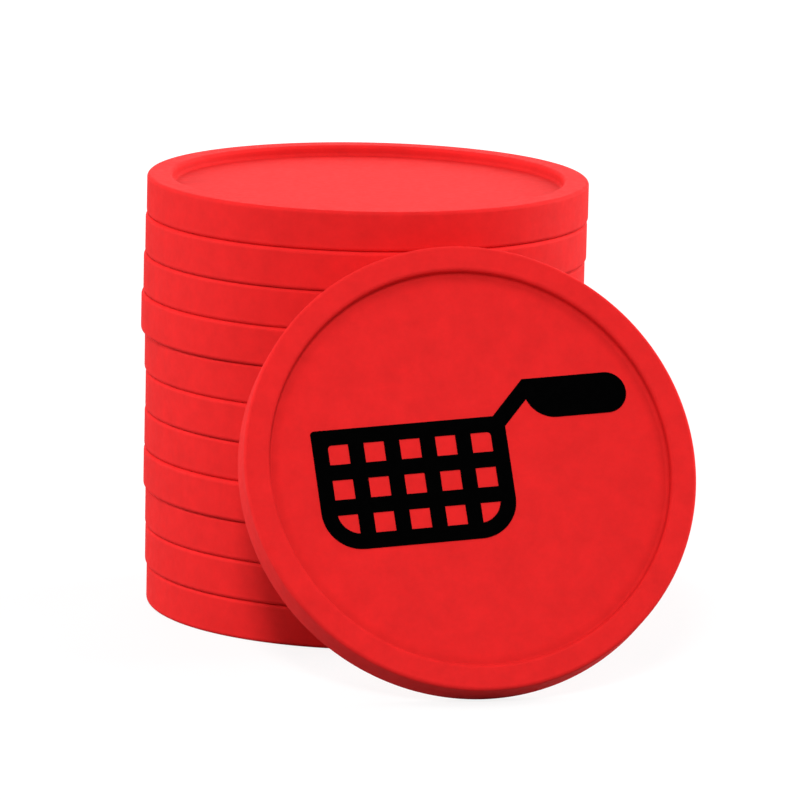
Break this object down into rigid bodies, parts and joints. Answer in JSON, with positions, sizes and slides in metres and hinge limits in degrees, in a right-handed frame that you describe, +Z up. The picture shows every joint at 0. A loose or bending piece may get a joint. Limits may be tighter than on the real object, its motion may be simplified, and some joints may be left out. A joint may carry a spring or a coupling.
{
  "type": "drink chip",
  "caption": "Round moulded plastic refreshment chips with raised rims, in a stack, and one more with a printed basket symbol that leans against the stack's side.",
  "frame": {"origin": "middle of the lowest chip's under side, on the table", "axes": "+Z up along the stack's axis; -Y towards the leaning chip and its printed face; +X to the right of that face"},
  "size_m": [0.0314, 0.0449, 0.0286],
  "materials": {
    "red_plastic": "satin moulded polystyrene with a fine grain",
    "black_ink": "flat printed ink film"
  },
  "bodies": {
    "chip_01": {"chip_01": "red_plastic"},
    "chip_02": {"chip_02": "red_plastic"},
    "chip_03": {"chip_03": "red_plastic"},
    "chip_04": {"chip_04": "red_plastic"},
    "chip_05": {"chip_05": "red_plastic"},
    "chip_06": {"chip_06": "red_plastic"},
    "chip_07": {"chip_07": "red_plastic"},
    "chip_08": {"chip_08": "red_plastic"},
    "chip_09": {"chip_09": "red_plastic"},
    "chip_10": {"chip_10": "red_plastic"},
    "chip_11": {"chip_11": "red_plastic"},
    "leaning_chip": {"leaning_chip": "red_plastic", "leaning_print": "black_ink"}
  },
  "joints": [
    {"name": "chip_02_lift", "type": "slide", "parent": "chip_01", "child": "chip_02", "axis": [0, 0, 1], "range_m": [0, 0.015]},
    {"name": "chip_03_lift", "type": "slide", "parent": "chip_02", "child": "chip_03", "axis": [0, 0, 1], "range_m": [0, 0.015]},
    {"name": "chip_04_lift", "type": "slide", "parent": "chip_03", "child": "chip_04", "axis": [0, 0, 1], "range_m": [0, 0.015]},
    {"name": "chip_05_lift", "type": "slide", "parent": "chip_04", "child": "chip_05", "axis": [0, 0, 1], "range_m": [0, 0.015]},
    {"name": "chip_06_lift", "type": "slide", "parent": "chip_05", "child": "chip_06", "axis": [0, 0, 1], "range_m": [0, 0.015]},
    {"name": "chip_07_lift", "type": "slide", "parent": "chip_06", "child": "chip_07", "axis": [0, 0, 1], "range_m": [0, 0.015]},
    {"name": "chip_08_lift", "type": "slide", "parent": "chip_07", "child": "chip_08", "axis": [0, 0, 1], "range_m": [0, 0.015]},
    {"name": "chip_09_lift", "type": "slide", "parent": "chip_08", "child": "chip_09", "axis": [0, 0, 1], "range_m": [0, 0.015]},
    {"name": "chip_10_lift", "type": "slide", "parent": "chip_09", "child": "chip_10", "axis": [0, 0, 1], "range_m": [0, 0.015]},
    {"name": "chip_11_lift", "type": "slide", "parent": "chip_10", "child": "chip_11", "axis": [0, 0, 1], "range_m": [0, 0.015]},
    {"name": "leaning_chip_tilt", "type": "hinge", "parent": "chip_01", "child": "leaning_chip", "pos_m": [0.0018, -0.02815, 0.00025], "axis": [1, 0, 0], "range_deg": [0, 27.3]}
  ]
}
